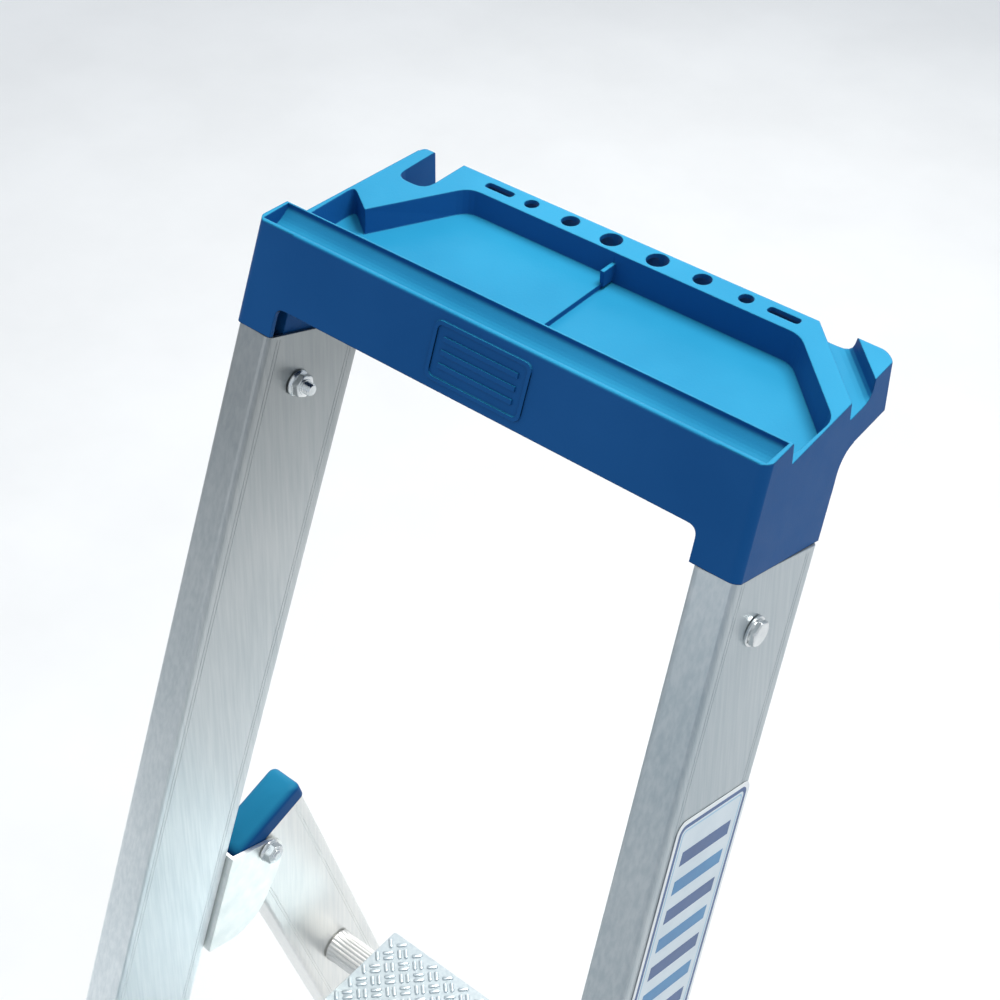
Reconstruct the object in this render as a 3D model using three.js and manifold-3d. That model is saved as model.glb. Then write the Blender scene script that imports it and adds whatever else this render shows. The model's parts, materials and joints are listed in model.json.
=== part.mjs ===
// Aluminium step ladder: two treads, a folding platform, a hinged rear frame and a moulded
// tool tray on top. Millimetres, +X right, +Y back, +Z up. The shapes are worked out in the
// tray frame (x = 0 mid width, y = 0 and z = 0 at the tray's front top edge) and the whole
// ladder is lifted onto the floor at the end.
import * as THREE from "three";
import { mergeVertices } from "three/addons/utils/BufferGeometryUtils.js";
import { ConvexGeometry } from "three/addons/geometries/ConvexGeometry.js";
import Module from "manifold-3d";

const wasm = await Module();
wasm.setup();

const rad = THREE.MathUtils.degToRad;

// ---- driving dimensions ----
const HEIGHT = 1378;
const FRONT_LEAN = rad(19.6);
const REAR_LEAN = rad(17.4);
const SPLAY = rad(2.42);
const GAP = 0.3;
const FAR_X = 190;

const TRAY_LENGTH = 335.6;
const TRAY_TAPER = 0.05;
const TRAY_WALL = 3;
const TRAY_BACK = 134;
const TRAY_BOTTOM = -43;
const RIM_Z = -12.9;
const GUTTER_BACK = 23.5;
const SKIRT_HEIGHT = 62.8;
const SKIRT_DEPTH = 90;
const SKIRT_WIDTH = 28;
const FACE_HEIGHT = 44.1;
const NOTCH_RADIUS = 6;
const NOTCH_LEFT = 15;
const NOTCH_RIGHT = 38;
const NOTCH_FRONT = 98;
const BOWL_FLOOR = -27.3;
const BOWL_STEP_X = -6.3;
const BOWL_STEP = 3.5;
const BOWL_DRAFT = 3.2;
const HOOK_FLOOR = -24;
const HOOK_LINE = 245.5;
const TONGUE_END = 116;
const TONGUE_FRONT = 14;
const TONGUE_BACK = 66;

const STILE_WIDTH = 25;
const STILE_DEPTH = 85;
const STILE_WALL = 2;
const STILE_INSET = 1.76;
const STILE_RADIUS = 4;
const TRAY_BOLT = { s: 98, n: 34, radius: 4 };
const BOLT_HEAD = 9;
const BOLT_TAIL = 12;

const REAR_WIDTH = 24;
const REAR_DEPTH = 65;
const REAR_FRONT_EDGE = 20.4;
const CAP_SKIRT_LOW = 6.5;
const CAP_HEIGHT = 18.5;
const CAP_ROUND = 5;
const CAP_DOME = 2;

const PIVOT_Y = -43.6;
const PIVOT_Z = -493.3;
const PIVOT_RADIUS = 4;
const BUSH_RADIUS = 5.7;
const BRACKET_TOP = 472;
const BRACKET_END = 553;
const BRACKET_SHEET = 3;
const BRACKET_ROOM = 14;

const TUBE_RADIUS = 12.5;
const TUBE_BORE = 9;
const TUBE_END_STEP = 1.5;
const TUBE_END = 5.5;
const TUBE_FLUTES = 16;
const TUBE_DROP = 208.9;
const TUBE_OFFSET = 12;

const PLATE_WIDTH = 270;
const PLATE_THICKNESS = 2.5;
const RIVET_SINK = 2.1;
const PLATE_REAR = 60;
const PLATE_FRONT = -228;
const PIVOT_TUBE_Y = -203;
const PIVOT_TUBE_S = 717;
const LOWER_TUBE_HEIGHT = 250;
const CLIP_X = 94.5;
const CLIP_WIDTH = 32;
const CLIP_RIVET = 30;

const TREAD_PITCH = 235;
const TREAD_DEPTH = 78;
const TREAD_THICKNESS = 26;

const COLOURS = {
  tray: { color: 0x1f6fae, roughness: 0.5, metalness: 0 },
  aluminium: { color: 0xb9c3c9, roughness: 0.38, metalness: 0.9 },
  steel: { color: 0xaab2b8, roughness: 0.35, metalness: 0.9 },
  zinc: { color: 0xd0d4d6, roughness: 0.28, metalness: 0.95 },
  plastic: { color: 0x2b2e31, roughness: 0.55, metalness: 0 },
  rubber: { color: 0x1b1c1d, roughness: 0.85, metalness: 0 },
  label: { color: 0xe6e9ec, roughness: 0.45, metalness: 0 },
};

const group = new THREE.Group();
const HALF = TRAY_LENGTH / 2;
const Z_AXIS = new THREE.Vector3(0, 0, 1);

// ---- solids ----
function toSolid(geometry) {
  const clean = geometry.clone();
  clean.deleteAttribute("normal");
  clean.deleteAttribute("uv");
  const merged = mergeVertices(clean, 1e-4);
  return new wasm.Manifold(new wasm.Mesh({
    numProp: 3,
    vertProperties: new Float32Array(merged.attributes.position.array),
    triVerts: new Uint32Array(merged.index.array),
  }));
}

function addNode(name, solid, look) {
  const mesh = solid.getMesh();
  const geometry = new THREE.BufferGeometry();
  geometry.setAttribute("position", new THREE.BufferAttribute(new Float32Array(mesh.vertProperties), 3));
  geometry.setIndex(new THREE.BufferAttribute(new Uint32Array(mesh.triVerts), 1));
  geometry.computeVertexNormals();
  const node = new THREE.Mesh(geometry, new THREE.MeshStandardMaterial(COLOURS[look]));
  node.name = name;
  group.add(node);
}

function union(solids) {
  return solids.reduce((whole, piece) => whole.add(piece));
}

// ---- outlines ----
function rounded(points, radii, segments = 4) {
  const shape = new THREE.Shape();
  const corners = points.map(([x, y]) => new THREE.Vector2(x, y));
  corners.forEach((corner, i) => {
    const before = corners[(i + corners.length - 1) % corners.length];
    const after = corners[(i + 1) % corners.length];
    const radius = Array.isArray(radii) ? radii[i] : radii;
    const start = corner.clone().add(before.clone().sub(corner).setLength(radius));
    const end = corner.clone().add(after.clone().sub(corner).setLength(radius));
    for (let k = 0; k <= (radius > 0 ? segments : 0); k += 1) {
      const t = radius > 0 ? k / segments : 0;
      const x = (1 - t) * (1 - t) * start.x + 2 * t * (1 - t) * corner.x + t * t * end.x;
      const y = (1 - t) * (1 - t) * start.y + 2 * t * (1 - t) * corner.y + t * t * end.y;
      if (i === 0 && k === 0) shape.moveTo(x, y);
      else shape.lineTo(x, y);
    }
  });
  return shape;
}

function rectangle(x0, y0, x1, y1) {
  return [[x0, y0], [x1, y0], [x1, y1], [x0, y1]];
}

// Prism of an (x, y) outline between two heights.
function prismZ(shape, z0, z1) {
  const geometry = new THREE.ExtrudeGeometry(shape, { depth: z1 - z0, bevelEnabled: false });
  geometry.translate(0, 0, z0);
  return toSolid(geometry);
}

// Prism of a (y, z) outline between two x positions.
function prismX(shape, x0, x1) {
  const geometry = new THREE.ExtrudeGeometry(shape, { depth: x1 - x0, bevelEnabled: false });
  geometry.translate(0, 0, x0);
  geometry.applyMatrix4(new THREE.Matrix4().makeBasis(
    new THREE.Vector3(0, 1, 0),
    new THREE.Vector3(0, 0, 1),
    new THREE.Vector3(1, 0, 0),
  ));
  return toSolid(geometry);
}

// The same prism on one side of the ladder, from a near to a far distance from the middle.
function prismSide(shape, side, near, far) {
  return prismX(shape, Math.min(side * near, side * far), Math.max(side * near, side * far));
}

// Pit with sloping walls between a convex top outline and a smaller bottom outline.
function pit(topShape, bottomShape, floor) {
  const ring = (shape, z) => shape.getPoints().map(({ x, y }) => new THREE.Vector3(x, y, z));
  const points = [...ring(bottomShape, floor), ...ring(topShape, RIM_Z), ...ring(topShape, RIM_Z + 30)];
  return toSolid(new ConvexGeometry(points));
}

function cylinderX(x0, x1, y, z, radius, segments = 24) {
  const geometry = new THREE.CylinderGeometry(radius, radius, x1 - x0, segments);
  geometry.rotateZ(Math.PI / 2);
  geometry.translate((x0 + x1) / 2, y, z);
  return toSolid(geometry);
}

function cylinderZ(x, y, z0, z1, radius, segments = 20) {
  const geometry = new THREE.CylinderGeometry(radius, radius, z1 - z0, segments);
  geometry.rotateX(Math.PI / 2);
  geometry.translate(x, y, (z0 + z1) / 2);
  return toSolid(geometry);
}

// Body turned about an upright axis at (x, y) from a profile of [radius, z] stations.
function latheZ(stations, x, y, segments) {
  const geometry = new THREE.LatheGeometry(stations.map(([r, z]) => new THREE.Vector2(r, z)), segments);
  geometry.rotateX(Math.PI / 2);
  geometry.translate(x, y, 0);
  return toSolid(geometry);
}

function box(x0, x1, y0, y1, z0, z1) {
  const geometry = new THREE.BoxGeometry(x1 - x0, y1 - y0, z1 - z0);
  geometry.translate((x0 + x1) / 2, (y0 + y1) / 2, (z0 + z1) / 2);
  return toSolid(geometry);
}

// Everything on the far side of a plane is removed.
function cutBeyond(solid, point, normal) {
  const size = 4000;
  const geometry = new THREE.BoxGeometry(size, size, size);
  geometry.translate(0, 0, size / 2);
  const turn = new THREE.Quaternion().setFromUnitVectors(Z_AXIS, normal.clone().normalize());
  geometry.applyQuaternion(turn);
  geometry.translate(point.x, point.y, point.z);
  return solid.subtract(toSolid(geometry));
}

function place(solid, matrix) {
  return solid.transform(matrix.elements);
}

// ---- frames ----
// Front frame: local x across, y square to the stiles (backwards), z up along the stiles.
const frontFrame = new THREE.Matrix4().makeRotationX(-FRONT_LEAN);

function stileFrame(side) {
  const offset = new THREE.Matrix4().makeTranslation(side * (HALF - STILE_INSET - STILE_WIDTH / 2), 0, 0);
  const splay = new THREE.Matrix4().makeRotationY(-side * SPLAY);
  return frontFrame.clone().multiply(offset).multiply(splay);
}

// Rear frame: origin on the pivot axis, z up along the rear stile.
function rearFrame(side) {
  const s = PIVOT_S;
  const x = side * (HALF - STILE_INSET - STILE_WIDTH / 2 + s * Math.tan(SPLAY));
  return new THREE.Matrix4().makeTranslation(x, PIVOT_Y, PIVOT_Z)
    .multiply(new THREE.Matrix4().makeRotationX(REAR_LEAN))
    .multiply(new THREE.Matrix4().makeRotationY(-side * SPLAY));
}

function frontPoint(s, n) {
  return new THREE.Vector3(0, n, -s).applyMatrix4(frontFrame);
}

const PIVOT_S = -PIVOT_Y * Math.sin(FRONT_LEAN) - PIVOT_Z * Math.cos(FRONT_LEAN);

// x of the stile centre line at distance s down the stile
function stileX(side, s) {
  return side * (HALF - STILE_INSET - STILE_WIDTH / 2 + s * Math.tan(SPLAY));
}

function innerFacePlane(side, inset) {
  const normal = new THREE.Vector3(side, 0, 0).transformDirection(stileFrame(side));
  const point = new THREE.Vector3(-side * (STILE_WIDTH / 2 + inset), 0, 0).applyMatrix4(stileFrame(side));
  return { point, normal };
}

// ---- tool tray ----
// The bowl is the union of two pits: the main one and a wedge reaching to the left end wall.
function bowlOutlines(grow) {
  const left = -HALF + 5 - grow;
  const right = HALF - 4 + grow;
  const front = 27 - grow;
  const back = 116 + grow;
  const main = rounded([
    [-HALF + 23 - grow, front],
    [right, front],
    [right, 66 + grow * 0.4],
    [HALF - 54.5 + grow * 0.4, back],
    [-HALF + 57 - grow * 0.5, back],
    [-HALF + 23 - grow, 54 + grow * 0.6],
  ], [4, 8, 7, 7, 8, 3]);
  const wedge = rounded([
    [left, front],
    [-HALF + 60, front],
    [-HALF + 60, 36 + grow],
    [left, 74 + grow],
  ], [8, 1, 1, 6]);
  return [main, wedge];
}

function bowlPit(grow, floor) {
  const tops = bowlOutlines(grow);
  const bottoms = bowlOutlines(grow - BOWL_DRAFT);
  return union(tops.map((top, i) => pit(top, bottoms[i], floor)));
}

// Shallow trough: steep behind the front lip, rising gently to a thin ridge at the back.
function gutterProfile(grow) {
  return rounded([
    [2.2 - grow, 30],
    [2.2 - grow, -9.2 - grow],
    [13 + grow, -9.2 - grow],
    [21.8 + grow, -2.5 - grow * 0.3],
    [21.8 + grow, 30],
  ], [0, 4, 5, 1.5, 0], 5);
}

// Hook channel, drawn square to the diagonal rim: t runs outwards from the rim's outer edge.
function hookCut(grow) {
  const shape = rounded([
    [-grow, 30],
    [1.6 - grow, HOOK_FLOOR - grow],
    [16.4 + grow * 0.6, HOOK_FLOOR - grow],
    [18 + grow, RIM_Z],
    [18 + grow, 30],
  ], [0, 1, 6, 2, 0]);
  const channel = prismX(shape, -80, 80);
  const turn = new THREE.Matrix4().makeTranslation(HALF, HOOK_LINE - HALF, 0)
    .multiply(new THREE.Matrix4().makeRotationZ(-Math.PI / 4));
  return place(channel, turn);
}

function slot(x0, x1, y, radius) {
  const shape = rounded([
    [x0, y - radius],
    [x1, y - radius],
    [x1, y + radius],
    [x0, y + radius],
  ], radius * 0.95, 6);
  return prismZ(shape, RIM_Z - 20, RIM_Z + 10);
}

function trayShell(inset) {
  const lean = Math.tan(FRONT_LEAN);
  const front = inset / Math.cos(FRONT_LEAN);
  const faceLow = FACE_HEIGHT * Math.cos(FRONT_LEAN);
  const reach = inset > 0 ? 60 : 0;
  const body = rounded([
    [front, -inset],
    [front - lean * (faceLow + reach), -faceLow - reach],
    [TRAY_BACK - inset, TRAY_BOTTOM - reach],
    [TRAY_BACK - inset, RIM_Z - inset],
    [GUTTER_BACK - inset, RIM_Z - inset],
    [GUTTER_BACK - inset, -inset],
  ], [1.2, 0, 0, 1.5, 0.8, 1.2], 3);
  return prismX(body, -HALF - 20, HALF + 20);
}

// Side wall that reaches down over the stile's cut end, with the hollow curve behind it.
function skirtPlate(inset, drop) {
  const shape = new THREE.Shape();
  const radius = 17;
  const floorPoint = (s, n) => {
    const point = frontPoint(s, n);
    return [point.y, point.z];
  };
  const [frontTop, frontLow, rearLow] = [
    floorPoint(0, inset),
    floorPoint(SKIRT_HEIGHT + drop, inset),
    floorPoint(SKIRT_HEIGHT + drop, SKIRT_DEPTH - inset),
  ];
  const rearHigh = floorPoint(30, SKIRT_DEPTH - inset);
  shape.moveTo(...frontTop);
  shape.lineTo(...frontLow);
  shape.lineTo(...rearLow);
  shape.lineTo(...rearHigh);
  shape.quadraticCurveTo(rearHigh[0] + 3, TRAY_BOTTOM - 0.5, rearHigh[0] + radius, TRAY_BOTTOM);
  shape.lineTo(rearHigh[0] + radius, RIM_Z - 1 - inset);
  shape.lineTo(frontTop[0], RIM_Z - 1 - inset);
  return shape;
}

// Front wall with its two rounded notch corners, drawn in the face's own plane.
function frontWall() {
  const wide = HALF + 20;
  const notch = (s) => HALF - SKIRT_WIDTH + s * Math.tan(SPLAY);
  const outline = rounded([
    [-wide, -8],
    [-wide, -SKIRT_HEIGHT],
    [-notch(SKIRT_HEIGHT), -SKIRT_HEIGHT],
    [-notch(FACE_HEIGHT), -FACE_HEIGHT],
    [notch(FACE_HEIGHT), -FACE_HEIGHT],
    [notch(SKIRT_HEIGHT), -SKIRT_HEIGHT],
    [wide, -SKIRT_HEIGHT],
    [wide, -8],
  ], [0, 0, 1, NOTCH_RADIUS, NOTCH_RADIUS, 1, 0, 0], 6);
  const wall = prismZ(outline, -TRAY_WALL, 0);
  return place(wall, frontFrame.clone().multiply(new THREE.Matrix4().makeRotationX(Math.PI / 2)));
}

function endPlane(side, inset) {
  const down = new THREE.Vector3(side * Math.sin(SPLAY), 0, -Math.cos(SPLAY)).applyMatrix4(frontFrame);
  const back = new THREE.Vector3(-side * TRAY_TAPER, 1, 0);
  const normal = down.clone().cross(back).normalize();
  if (normal.x * side < 0) normal.negate();
  return { point: new THREE.Vector3(side * (HALF - inset), 0, 0), normal };
}

function cutEnds(solid, inset) {
  return [-1, 1].reduce((rest, side) => {
    const { point, normal } = endPlane(side, inset);
    return cutBeyond(rest, point, normal);
  }, solid);
}

function buildTray() {
  const skirts = [-1, 1].map((side) => {
    const plate = prismSide(skirtPlate(0, 0), side, 100, FAR_X);
    const inner = new THREE.Vector3(side * (HALF - SKIRT_WIDTH), 0, 0);
    const inward = new THREE.Vector3(-side * Math.cos(SPLAY), 0, -Math.sin(SPLAY));
    inward.applyMatrix4(frontFrame);
    return cutBeyond(plate, inner, inward);
  });
  const outer = cutEnds(union([trayShell(0), ...skirts, frontWall()]), 0);

  const bowl = bowlPit(0, BOWL_FLOOR);
  const deepHalf = box(BOWL_STEP_X, HALF + 10, 0, 140, BOWL_FLOOR - BOWL_STEP, RIM_Z + 8);
  const deepBowl = bowlPit(0, BOWL_FLOOR - BOWL_STEP).intersect(deepHalf);
  const bowlSkin = bowlPit(TRAY_WALL, BOWL_FLOOR - BOWL_STEP - TRAY_WALL);
  const gutter = prismX(gutterProfile(0), -HALF + TRAY_WALL, HALF - TRAY_WALL);
  const gutterSkin = prismX(gutterProfile(TRAY_WALL), -HALF - 20, HALF + 20);

  const inside = cutEnds(trayShell(TRAY_WALL), TRAY_WALL);
  const skirtInsides = [-1, 1].map((side) => {
    return prismSide(skirtPlate(TRAY_WALL, 5), side, 90, FAR_X);
  });
  const skirtHollow = cutEnds(union(skirtInsides), TRAY_WALL);
  const hookSkin = hookCut(TRAY_WALL);
  const hollow = inside.add(skirtHollow)
    .subtract(bowlSkin)
    .subtract(gutterSkin)
    .subtract(hookSkin);

  // the deck's left rear corner is notched from behind for a hammer's handle
  const notchOutline = (wall) => rounded([
    [-HALF + NOTCH_RIGHT + wall, TRAY_BACK + 12],
    [-HALF + NOTCH_LEFT - wall, TRAY_BACK + 12],
    [-HALF + NOTCH_LEFT - wall, NOTCH_FRONT - wall],
    [-HALF + NOTCH_RIGHT + wall, NOTCH_FRONT - wall],
  ], [0, 0, 9, 9]);
  const notch = prismZ(notchOutline(0), -80, 10);
  const notchSkin = prismZ(notchOutline(TRAY_WALL), TRAY_BOTTOM, RIM_Z - 1).subtract(notch);

  const holes = [
    slot(-HALF + 61.5, -HALF + 81.5, 125.5, 2.75),
    slot(-HALF + 255, -HALF + 275, 125.5, 2.75),
    cylinderZ(-HALF + 95, 125.5, -40, 0, 4.35),
    cylinderZ(-HALF + 241.2, 125.5, -40, 0, 4.35),
    cylinderZ(-HALF + 123, 125.5, -40, 0, 5.45),
    cylinderZ(-HALF + 213, 125.5, -40, 0, 5.45),
    cylinderZ(-HALF + 152, 125, -40, 0, 6.6),
    cylinderZ(-HALF + 183.6, 125, -40, 0, 6.6),
  ];

  let tray = outer.subtract(hollow).add(notchSkin.intersect(outer));
  tray = union([tray, ...trayRelief()]);
  const cuts = [bowl, deepBowl, gutter, hookCut(0), notch, ...holes];
  tray = cuts.reduce((rest, cut) => rest.subtract(cut), tray);
  tray = tray.add(box(BOWL_STEP_X - 1, BOWL_STEP_X + 1.5, 104, 117, BOWL_FLOOR - 2, -19));
  tray = roundCorners(tray);
  const tongues = [-1, 1].map(buildTongue);
  tray = union([tray, ...tongues]);
  return drillTongues(tray);
}

// Upright corner roundings: the hook's ear and the post opposite it, then the two front corners.
function roundCorners(tray) {
  const corners = [
    { side: 1, x: HALF - 2.6, radius: 18 },
    { side: -1, x: HALF - TRAY_BACK * TRAY_TAPER, radius: 5 },
  ];
  const rearRounded = corners.reduce((rest, { side, x, radius }) => {
    const [near, far] = [x - radius, x + 20];
    const block = box(
      Math.min(side * near, side * far),
      Math.max(side * near, side * far),
      TRAY_BACK - radius,
      TRAY_BACK + 20,
      TRAY_BOTTOM - 5,
      5,
    );
    const pillar = cylinderZ(side * near, TRAY_BACK - radius, TRAY_BOTTOM - 6, 6, radius, 48);
    return rest.subtract(block.subtract(pillar));
  }, tray);
  // front corners follow the leaning face
  const radius = 6;
  return [-1, 1].reduce((rest, side) => {
    const frame = frontFrame.clone()
      .multiply(new THREE.Matrix4().makeTranslation(side * HALF, 0, 0))
      .multiply(new THREE.Matrix4().makeRotationY(-side * SPLAY));
    const x0 = side > 0 ? -radius : -4;
    const block = box(x0, x0 + radius + 4, -4, radius, -90, 20);
    const pillar = cylinderZ(-side * radius, radius, -95, 25, radius, 32);
    return rest.subtract(place(block.subtract(pillar), frame));
  }, rearRounded);
}

// Thin raised lips along the bottom edges and a raised emblem frame on the front face.
function trayRelief() {
  const faceStrip = (outline, lift) => {
    const strip = prismZ(outline, -1, lift);
    const turn = frontFrame.clone().multiply(new THREE.Matrix4().makeRotationX(Math.PI / 2));
    return place(strip, turn);
  };
  const outerFrame = rounded(rectangle(-34.1, -39.2, 29.7, -6), 4.5);
  outerFrame.holes.push(rounded(rectangle(-31.9, -37, 27.5, -8.2).reverse(), 3));
  return [faceStrip(outerFrame, 0.7)];
}

function buildTongue(side) {
  const width = STILE_WIDTH - 2 * STILE_WALL - 2 * GAP;
  const plug = toSolid(new THREE.BoxGeometry(width, TONGUE_BACK - TONGUE_FRONT, TONGUE_END - 18)
    .translate(0, (TONGUE_BACK + TONGUE_FRONT) / 2 + STILE_INSET, -(TONGUE_END + 18) / 2));
  const core = toSolid(new THREE.BoxGeometry(width - 5, TONGUE_BACK - TONGUE_FRONT - 24, TONGUE_END)
    .translate(0, (TONGUE_BACK + TONGUE_FRONT) / 2 + STILE_INSET + 9, -TONGUE_END / 2 - 24));
  const under = place(plug.subtract(core), stileFrame(side));
  const above = box(-400, 400, -100, 200, RIM_Z - 1.5, 40);
  const gutterRoom = prismX(gutterProfile(1), -HALF - 20, HALF + 20);
  const bowlRoom = bowlPit(1, BOWL_FLOOR - BOWL_STEP - 1);
  return [above, gutterRoom, bowlRoom].reduce((rest, cut) => rest.subtract(cut), under);
}

function drillTongues(tray) {
  const { s, n, radius } = TRAY_BOLT;
  const point = frontPoint(s, n + STILE_INSET);
  return tray.subtract(cylinderX(-HALF - 40, HALF + 40, point.y, point.z, radius + GAP));
}

// ---- front stiles ----
function holeAt(s, n, radius) {
  const point = frontPoint(s, n);
  return cylinderX(-400, 400, point.y, point.z, radius);
}

function stileSection(grow, radius) {
  const x = STILE_WIDTH / 2 + grow;
  return rounded(rectangle(-x, STILE_INSET - grow, x, STILE_INSET + STILE_DEPTH + grow), radius);
}

const treadTops = [TREAD_PITCH, TREAD_PITCH * 2].map((height) => height - HEIGHT);
const pivotTubeZ = PIVOT_Z - TUBE_DROP * Math.cos(REAR_LEAN) + TUBE_OFFSET * Math.sin(REAR_LEAN);

// where the stile's front face is at a given height
function stileFrontY(z) {
  const s = -(z + STILE_INSET * Math.sin(FRONT_LEAN)) / Math.cos(FRONT_LEAN);
  return frontPoint(s, STILE_INSET).y;
}

function treadPorts(z) {
  const y = stileFrontY(z) + 3;
  return [y + 22, y + 56].map((py) => ({ y: py, z: z - TREAD_THICKNESS / 2 - 0.5 }));
}

function webRivets(side) {
  return [BRACKET_TOP + 16, BRACKET_END - 14].map((s) => {
    const frame = stileFrame(side).multiply(new THREE.Matrix4().makeTranslation(0, 0, -s));
    return frame.multiply(new THREE.Matrix4().makeRotationX(-Math.PI / 2));
  });
}

function buildStile(side) {
  const section = stileSection(0, STILE_RADIUS);
  section.holes.push(stileSection(-STILE_WALL, STILE_RADIUS - STILE_WALL + 0.5));
  let stile = place(prismZ(section, -HEIGHT * 1.2, -SKIRT_HEIGHT - GAP - 0.6), stileFrame(side));
  stile = cutBeyond(stile, new THREE.Vector3(0, 0, -HEIGHT + 13), new THREE.Vector3(0, 0, -1));
  const cuts = [holeAt(TRAY_BOLT.s, TRAY_BOLT.n + STILE_INSET, TRAY_BOLT.radius + GAP)];
  treadTops.forEach((z) => treadPorts(z).forEach((port) => {
    cuts.push(cylinderX(-400, 400, port.y, port.z, 2.4 + GAP, 16));
  }));
  cuts.push(boreTo(side, stileX(1, PIVOT_TUBE_S), PIVOT_TUBE_Y, pivotTubeZ));
  webRivets(side).forEach((frame) => cuts.push(place(cylinderZ(0, 0, 60, 100, 2.5 + GAP, 16), frame)));
  return cuts.reduce((rest, cut) => rest.subtract(cut), stile);
}

// Bore for a cross tube's plain end, open on the ladder's inside and stopping at x = reach.
function boreTo(side, reach, y, z) {
  const [x0, x1] = side > 0 ? [0, reach] : [-reach, 0];
  return cylinderX(x0, x1, y, z, TUBE_RADIUS - TUBE_END_STEP + GAP);
}

// ---- fasteners ----
function hexPrism(radius, x0, x1, y, z) {
  const geometry = new THREE.CylinderGeometry(radius, radius, x1 - x0, 6);
  geometry.rotateZ(Math.PI / 2);
  geometry.translate((x0 + x1) / 2, y, z);
  return toSolid(geometry);
}

// Bolt along x: head outside, shank, threaded end beyond the nut.
function boltX(side, xHead, xEnd, y, z, radius, headRadius, headHeight) {
  const stations = [
    [0, 0.001],
    [0, headRadius * 0.55],
    [headHeight * 0.25, headRadius * 0.85],
    [headHeight * 0.6, headRadius],
    [headHeight, headRadius],
    [headHeight, radius],
    [headHeight + xHead - xEnd - 1, radius],
    [headHeight + xHead - xEnd, radius - 1],
    [headHeight + xHead - xEnd, 0.001],
  ];
  const profile = stations.map(([along, r]) => new THREE.Vector2(r < 0.01 ? 0 : r, along));
  const geometry = new THREE.LatheGeometry(profile, 16);
  geometry.rotateZ(side * Math.PI / 2);
  geometry.translate(side * (xHead + headHeight), y, z);
  return toSolid(geometry);
}

function nutX(side, xFace, y, z, height, corner, bore) {
  const x0 = Math.min(side * xFace, side * (xFace - height));
  const flange = cylinderX(
    Math.min(side * xFace, side * (xFace - 2)),
    Math.max(side * xFace, side * (xFace - 2)),
    y,
    z,
    corner * 1.08,
  );
  const body = hexPrism(corner, x0, x0 + height, y, z).add(flange);
  return body.subtract(cylinderX(x0 - 1, x0 + height + 1, y, z, bore));
}

function buildFasteners(side, suffix) {
  const lift = 0.75;
  const bolt = frontPoint(TRAY_BOLT.s, TRAY_BOLT.n + STILE_INSET);
  const centre = Math.abs(stileX(1, TRAY_BOLT.s));
  const outerX = centre + STILE_WIDTH / 2 + lift;
  const innerX = centre - STILE_WIDTH / 2 - lift;
  const screw = boltX(side, outerX, innerX - BOLT_TAIL, bolt.y, bolt.z, TRAY_BOLT.radius, BOLT_HEAD, 4.5);
  addNode(`tray_bolt_${suffix}`, screw, "zinc");
  const nut = nutX(side, innerX, bolt.y, bolt.z, 7, 8, TRAY_BOLT.radius + GAP);
  addNode(`tray_nut_${suffix}`, nut, "zinc");

  const pivotCentre = Math.abs(stileX(1, PIVOT_S));
  const leaf = BRACKET_ROOM + BRACKET_SHEET;
  const head = pivotCentre + leaf + lift;
  const tail = pivotCentre - leaf - lift;
  const pin = boltX(side, head, tail - BOLT_TAIL, PIVOT_Y, PIVOT_Z, PIVOT_RADIUS, BOLT_HEAD, 5);
  addNode(`pivot_bolt_${suffix}`, pin, "zinc");
  const pivotNut = nutX(side, tail, PIVOT_Y, PIVOT_Z, 8, 8, PIVOT_RADIUS + GAP);
  addNode(`pivot_nut_${suffix}`, pivotNut, "zinc");

  webRivets(side).forEach((frame, i) => {
    const profile = [[0, 78], [2.5, 78], [2.5, 90.4], [5, 90.4], [4.2, 91.6], [2.2, 92.4], [0, 92.6]];
    const level = i === 0 ? "upper" : "lower";
    addNode(`bracket_rivet_${suffix}_${level}`, place(latheZ(profile, 0, 0, 14), frame), "zinc");
  });

  treadTops.forEach((z, level) => treadPorts(z).forEach((port, i) => {
    const s = -(port.z * Math.cos(FRONT_LEAN)) - port.y * Math.sin(FRONT_LEAN);
    const face = Math.abs(stileX(1, s)) + STILE_WIDTH / 2 + 0.6;
    const rivet = boltX(side, face, face - STILE_WIDTH - 13, port.y, port.z, 2.4, 5.5, 2.2);
    addNode(`tread_rivet_${level === 0 ? "lower" : "upper"}_${suffix}_${i + 1}`, rivet, "zinc");
  }));
}

// ---- brackets ----
function buildBracket(side) {
  const back = STILE_INSET + STILE_DEPTH + GAP;
  const inner = BRACKET_ROOM;
  const outer = inner + BRACKET_SHEET;
  const reach = STILE_INSET + 141;
  const leafShape = rounded([
    [back, -BRACKET_TOP],
    [back, -BRACKET_END],
    [reach - 27, -BRACKET_END],
    [reach - 8, -BRACKET_TOP - 67],
    [reach, -BRACKET_TOP - 32],
    [reach, -BRACKET_TOP - 17],
    [reach - 5, -BRACKET_TOP - 5],
    [reach - 15, -BRACKET_TOP],
  ], [2, 2, 11, 11, 8, 6, 5.5, 5]);
  const leaves = [-1, 1].map((edge) => prismSide(leafShape, edge, inner, outer));
  const web = box(-outer, outer, back, back + BRACKET_SHEET, -BRACKET_END, -BRACKET_TOP);
  const bracket = place(union([...leaves, web]), stileFrame(side));
  const bore = cylinderX(-400, 400, PIVOT_Y, PIVOT_Z, PIVOT_RADIUS + GAP);
  const drilled = bracket.subtract(bore);
  return webRivets(side).reduce((rest, frame) => {
    return rest.subtract(place(cylinderZ(0, 0, 60, 100, 2.5 + GAP, 16), frame));
  }, drilled);
}

// ---- rear frame ----
const rearLow = -(HEIGHT + PIVOT_Z) / Math.cos(REAR_LEAN);

function rearSection(grow, radius) {
  const x = REAR_WIDTH / 2 + grow;
  const y0 = -REAR_FRONT_EDGE - grow;
  return rounded(rectangle(-x, y0, x, REAR_DEPTH - REAR_FRONT_EDGE + grow), radius);
}

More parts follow.
